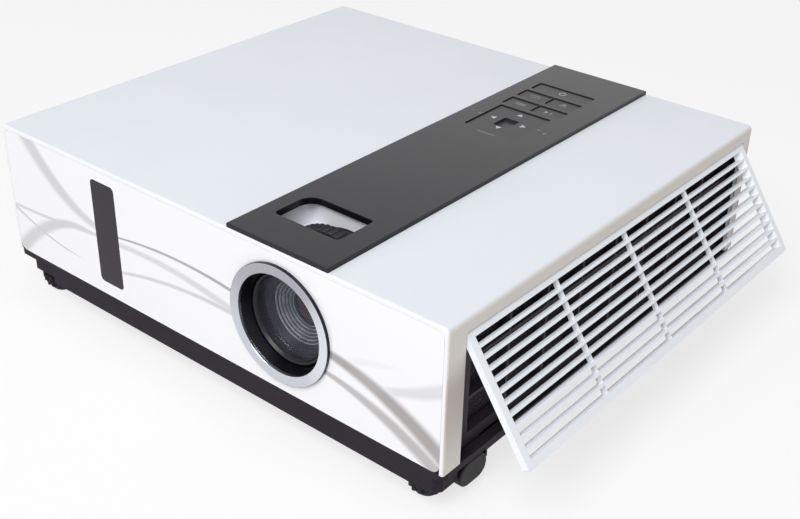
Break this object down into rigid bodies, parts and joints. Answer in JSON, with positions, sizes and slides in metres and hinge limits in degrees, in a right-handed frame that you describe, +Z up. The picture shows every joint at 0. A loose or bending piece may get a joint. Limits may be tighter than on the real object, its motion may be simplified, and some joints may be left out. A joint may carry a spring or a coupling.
{
  "type": "projector with built-in disc player",
  "caption": "Desk-top video projector in a flat white case with a raised control strip, a recessed lens, a louvred service door and a disc drawer in its side.",
  "frame": {"origin": "middle of the flat underside of the base, at the centre of the ceiling-mount holes", "axes": "+X to the right of the case seen from the front, along its longest side; +Y to the back, the lens looks along -Y; +Z up"},
  "size_m": [0.3906, 0.317, 0.1181],
  "materials": {
    "base_plastic": "fine matt",
    "white_shell": "satin",
    "front_gloss": "gloss",
    "rear_plastic": "fine matt",
    "strip_plastic": "satin",
    "ir_plastic": "gloss",
    "bright_metal": "polished",
    "black_plastic": "matt",
    "lens_glass": "coated",
    "steel": "brushed",
    "foam": "open cell",
    "foot_rubber": "matt",
    "gear_plastic": "natural",
    "cast_alloy": "cast",
    "circuit_board": "coated board",
    "socket_plastic": "matt"
  },
  "bodies": {
    "housing": {"base_shell": "base_plastic", "top_cover": "white_shell", "front_panel": "front_gloss", "rear_panel": "rear_plastic", "control_strip": "strip_plastic", "lens_well": "white_shell", "ir_window": "ir_plastic", "key_board": "circuit_board", "lens_bezel": "bright_metal", "lens_shroud": "black_plastic", "lens_barrel": "black_plastic", "rear_glass": "lens_glass", "hinge_pins": "steel", "filter_frame": "black_plastic", "filter_foam": "foam", "lamp_hatch": "base_plastic", "case_screws": "steel", "foot_blocks": "base_plastic", "rear_foot_pads": "foot_rubber", "drive_case": "steel", "spindle_motor": "steel", "guide_rails": "steel", "optics_housing": "cast_alloy", "prism_block": "lens_glass", "lcd_panels": "lens_glass", "lamp_housing": "cast_alloy", "projection_lamp": "lens_glass", "intake_fan_frame": "black_plastic", "exhaust_fan_frame": "black_plastic", "power_supply": "circuit_board", "main_board": "circuit_board", "rear_sockets": "socket_plastic", "mains_inlet": "socket_plastic", "speaker": "black_plastic"},
    "service_door": {"grille_door": "white_shell"},
    "power_key": {"power_key": "strip_plastic"},
    "key_front_left": {"key_front_left": "strip_plastic"},
    "key_front_right": {"key_front_right": "strip_plastic"},
    "key_rear_left": {"key_rear_left": "strip_plastic"},
    "key_rear_right": {"key_rear_right": "strip_plastic"},
    "nav_gimbal": {"nav_pivot": "gear_plastic"},
    "nav_pad": {"nav_pad": "strip_plastic"},
    "focus_ring": {"focus_ring": "black_plastic"},
    "zoom_ring": {"zoom_ring": "black_plastic"},
    "front_lens": {"lens_cell": "black_plastic", "front_glass": "lens_glass"},
    "leg_left": {"foot_leg_left": "steel"},
    "leg_right": {"foot_leg_right": "steel"},
    "wheel_left": {"foot_wheel_left": "black_plastic"},
    "wheel_right": {"foot_wheel_right": "black_plastic"},
    "button_left": {"release_button_left": "base_plastic"},
    "button_right": {"release_button_right": "base_plastic"},
    "disc_drawer": {"disc_tray": "black_plastic", "tray_front": "white_shell"},
    "loading_gear": {"loading_gear": "gear_plastic"},
    "turntable": {"turntable": "black_plastic"},
    "feed_screw": {"feed_screw": "steel"},
    "laser_pickup": {"laser_pickup": "black_plastic"},
    "intake_rotor": {"intake_fan_rotor": "black_plastic"},
    "exhaust_rotor": {"exhaust_fan_rotor": "black_plastic"}
  },
  "joints": [
    {"name": "door_hinge", "type": "hinge", "parent": "housing", "child": "service_door", "pos_m": [0.173, 0, 0.0905], "axis": [0, -1, 0], "range_deg": [-34, 46]},
    {"name": "power_key_press", "type": "slide", "parent": "housing", "child": "power_key", "axis": [0, 0, -1], "range_m": [0, 0.001], "stiffness_N_per_m": 400},
    {"name": "key_front_left_press", "type": "slide", "parent": "housing", "child": "key_front_left", "axis": [0, 0, -1], "range_m": [0, 0.001], "stiffness_N_per_m": 400},
    {"name": "key_front_right_press", "type": "slide", "parent": "housing", "child": "key_front_right", "axis": [0, 0, -1], "range_m": [0, 0.001], "stiffness_N_per_m": 400},
    {"name": "key_rear_left_press", "type": "slide", "parent": "housing", "child": "key_rear_left", "axis": [0, 0, -1], "range_m": [0, 0.001], "stiffness_N_per_m": 400},
    {"name": "key_rear_right_press", "type": "slide", "parent": "housing", "child": "key_rear_right", "axis": [0, 0, -1], "range_m": [0, 0.001], "stiffness_N_per_m": 400},
    {"name": "nav_tilt_front_back", "type": "hinge", "parent": "housing", "child": "nav_gimbal", "pos_m": [0.0593, 0.0526, 0.0977], "axis": [1, 0, 0], "range_deg": [-2.5, 2.5], "stiffness_Nm_per_rad": 0.3},
    {"name": "nav_tilt_side", "type": "hinge", "parent": "nav_gimbal", "child": "nav_pad", "pos_m": [0.0593, 0.0526, 0.0977], "axis": [0, 1, 0], "range_deg": [-2.5, 2.5], "stiffness_Nm_per_rad": 0.3},
    {"name": "focus_turn", "type": "hinge", "parent": "housing", "child": "focus_ring", "pos_m": [0.0641, -0.1246, 0.05685], "axis": [0, 1, 0], "range_deg": [-40, 40]},
    {"name": "focus_slide", "type": "slide", "parent": "housing", "child": "front_lens", "axis": [0, 1, 0], "range_m": [-0.0015, 0.0015]},
    {"name": "zoom_turn", "type": "hinge", "parent": "housing", "child": "zoom_ring", "pos_m": [0.0641, -0.1154, 0.05685], "axis": [0, 1, 0], "range_deg": [-25, 25]},
    {"name": "leg_left_drop", "type": "slide", "parent": "housing", "child": "leg_left", "axis": [0, 0, -1], "range_m": [0, 0.025]},
    {"name": "wheel_left_turn", "type": "hinge", "parent": "leg_left", "child": "wheel_left", "pos_m": [-0.1545, -0.141, -0.005], "axis": [0, 0, 1], "continuous": true},
    {"name": "button_left_press", "type": "slide", "parent": "housing", "child": "button_left", "axis": [1, 0, 0], "range_m": [0, 0.0016], "stiffness_N_per_m": 600},
    {"name": "leg_right_drop", "type": "slide", "parent": "housing", "child": "leg_right", "axis": [0, 0, -1], "range_m": [0, 0.025]},
    {"name": "wheel_right_turn", "type": "hinge", "parent": "leg_right", "child": "wheel_right", "pos_m": [0.1545, -0.141, -0.005], "axis": [0, 0, 1], "continuous": true},
    {"name": "button_right_press", "type": "slide", "parent": "housing", "child": "button_right", "axis": [-1, 0, 0], "range_m": [0, 0.0016], "stiffness_N_per_m": 600},
    {"name": "drawer_slide", "type": "slide", "parent": "housing", "child": "disc_drawer", "axis": [-1, 0, 0], "range_m": [0, 0.13]},
    {"name": "loading_gear_turn", "type": "hinge", "parent": "housing", "child": "loading_gear", "pos_m": [-0.161, -0.0584, 0.063], "axis": [0, 0, 1], "range_deg": [0, 890]},
    {"name": "turntable_spin", "type": "hinge", "parent": "housing", "child": "turntable", "pos_m": [-0.104, 0, 0.062], "axis": [0, 0, 1], "continuous": true},
    {"name": "feed_screw_turn", "type": "hinge", "parent": "housing", "child": "feed_screw", "pos_m": [-0.07, -0.031, 0.057], "axis": [1, 0, 0], "range_deg": [0, 4092]},
    {"name": "pickup_slide", "type": "slide", "parent": "housing", "child": "laser_pickup", "axis": [1, 0, 0], "range_m": [0, 0.0341]},
    {"name": "intake_spin", "type": "hinge", "parent": "housing", "child": "intake_rotor", "pos_m": [0.14, -0.066, 0.0428], "axis": [1, 0, 0], "continuous": true},
    {"name": "exhaust_spin", "type": "hinge", "parent": "housing", "child": "exhaust_rotor", "pos_m": [0.104, 0.14, 0.0428], "axis": [0, 1, 0], "continuous": true}
  ],
  "couplings": [
    {"joint": "focus_slide", "follows": "focus_turn", "m_per_rad": 0.00214},
    {"joint": "loading_gear_turn", "follows": "drawer_slide", "rad_per_m": 119.05},
    {"joint": "feed_screw_turn", "follows": "pickup_slide", "rad_per_m": 2094.4}
  ]
}
